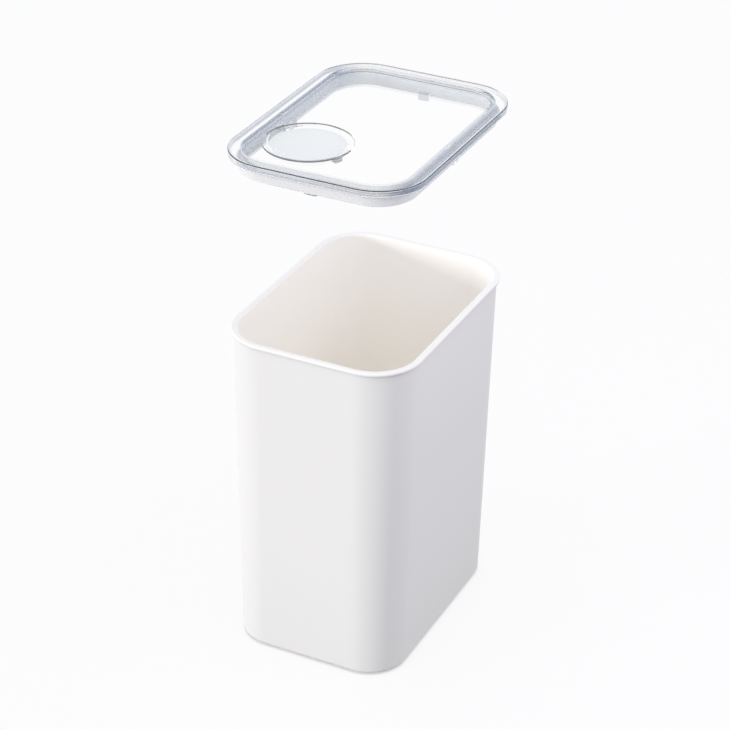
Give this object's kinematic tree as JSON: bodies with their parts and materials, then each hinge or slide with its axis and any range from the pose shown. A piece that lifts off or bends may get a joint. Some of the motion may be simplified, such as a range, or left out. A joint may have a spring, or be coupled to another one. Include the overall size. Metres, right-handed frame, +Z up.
{
  "type": "storage jar",
  "caption": "Tall drafted storage tub with a clear push-on lid, a silicone gasket and a round desiccant case that twists onto hooks under the lid.",
  "frame": {"origin": "centre of the flat surface that the tub stands on, in line with the middle of the tub and lid", "axes": "+Z up, out of the mouth; X across the short side, Y along the long side, with the short side that the picture shows on its left facing -Y and the long one on its right facing +X"},
  "size_m": [0.16, 0.22, 0.4368],
  "materials": {
    "tub": "white polypropylene, satin moulded",
    "lid": "clear styrene resin, polished moulding",
    "gasket": "translucent white silicone, moulded",
    "desiccant_case": "clear styrene resin, polished moulding",
    "desiccant_pad": "white non-woven sheet over a pressed desiccant disc"
  },
  "bodies": {
    "tub": {"tub": "tub"},
    "lid": {"lid": "lid", "gasket": "gasket"},
    "desiccant_case": {"desiccant_case": "desiccant_case", "desiccant_pad": "desiccant_pad"}
  },
  "joints": [
    {"name": "lid_lift", "type": "slide", "parent": "tub", "child": "lid", "axis": [0, 0, 1], "range_m": [-0.146, 0]},
    {"name": "case_twist", "type": "hinge", "parent": "lid", "child": "desiccant_case", "pos_m": [-0.0295, -0.0465, 0.4323], "axis": [0, 0, -1], "range_deg": [0, 35]}
  ]
}
